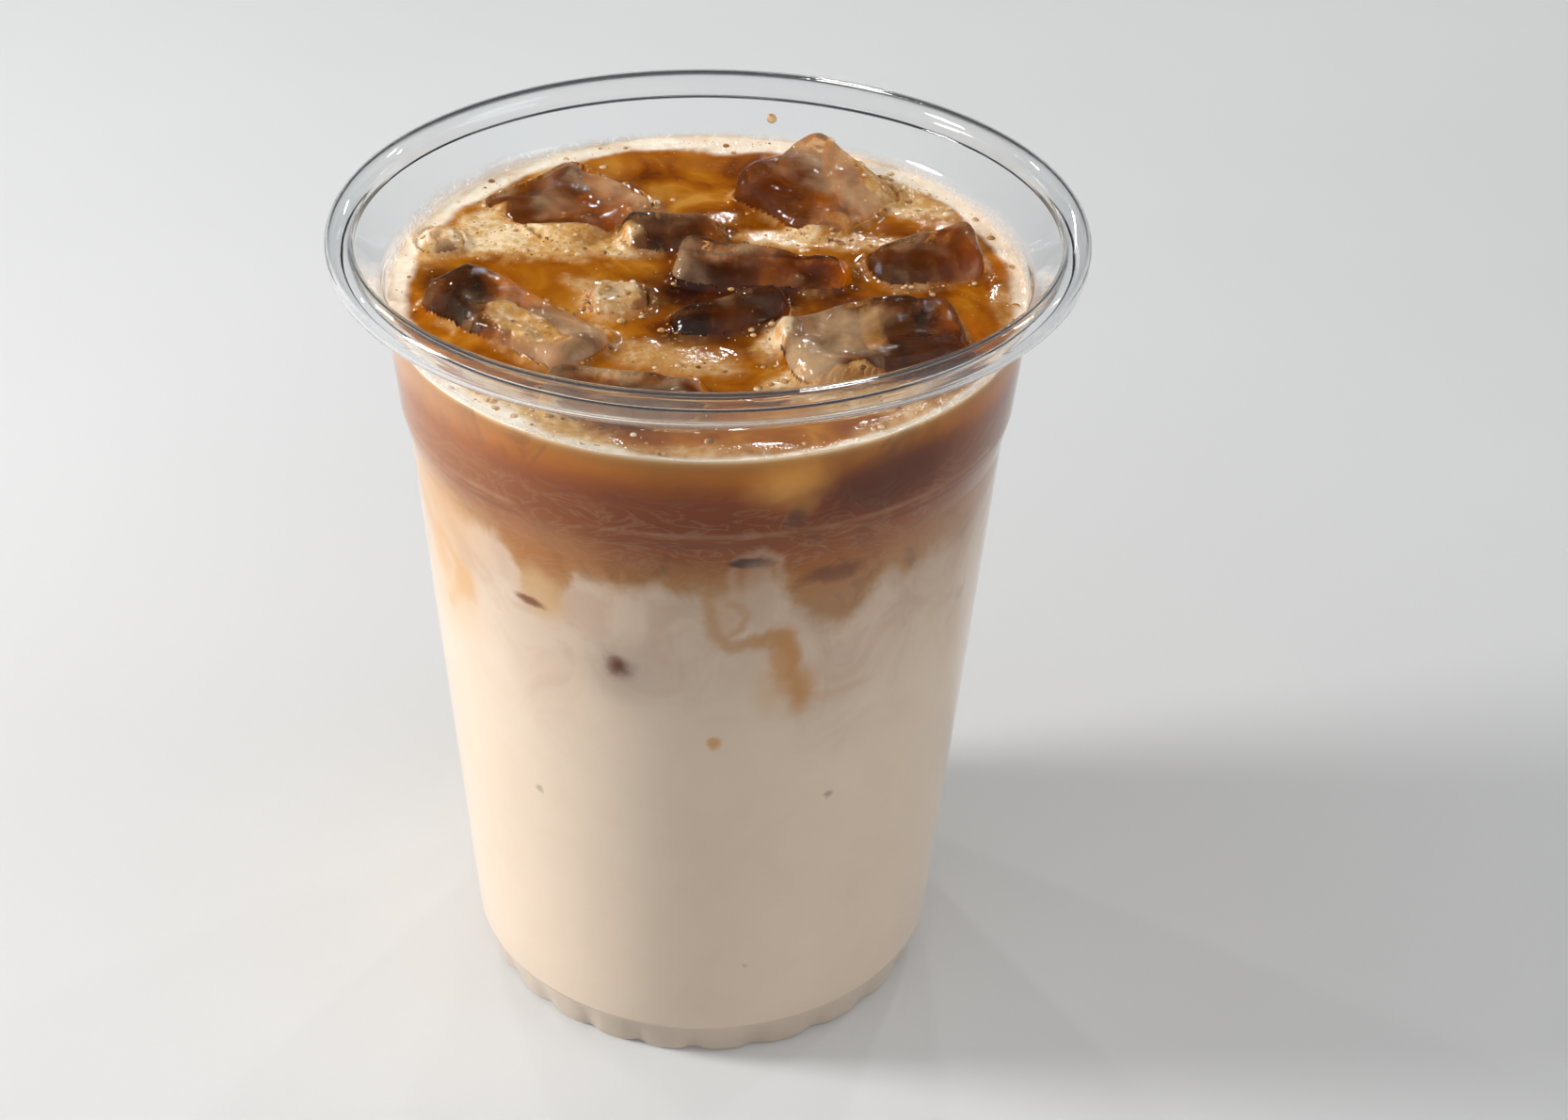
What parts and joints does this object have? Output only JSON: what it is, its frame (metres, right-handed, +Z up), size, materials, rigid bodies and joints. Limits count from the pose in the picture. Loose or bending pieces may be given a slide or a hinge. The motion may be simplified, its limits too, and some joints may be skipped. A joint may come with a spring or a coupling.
{
  "type": "iced coffee in a clear disposable cup",
  "caption": "Clear disposable cup with rolled rim, filled with layered milk and coffee, a thin foam top and ice blocks breaking the surface.",
  "frame": {"origin": "centre of the cup's foot, on the surface that it stands on", "axes": "+Z up along the cup's axis; -Y is the front, +X is to the right seen from the front"},
  "size_m": [0.098, 0.098, 0.117],
  "materials": {
    "clear_plastic": "clear glossy moulded plastic",
    "milk": "opaque milk with a little coffee in it",
    "coffee": "brown coffee fading into the milk below",
    "foam": "fine tan bubbles, wet",
    "ice": "wet clear ice tinted by the coffee"
  },
  "bodies": {
    "root": {"cup": "clear_plastic", "milk": "milk", "coffee": "coffee", "foam": "foam", "ice_back_left": "ice", "ice_back_middle": "ice", "ice_back_right": "ice", "ice_chip_left": "ice", "ice_chip_middle": "ice", "ice_front_left": "ice", "ice_front_middle": "ice", "ice_front_right": "ice", "ice_left": "ice", "ice_middle": "ice", "ice_right": "ice"}
  },
  "joints": []
}
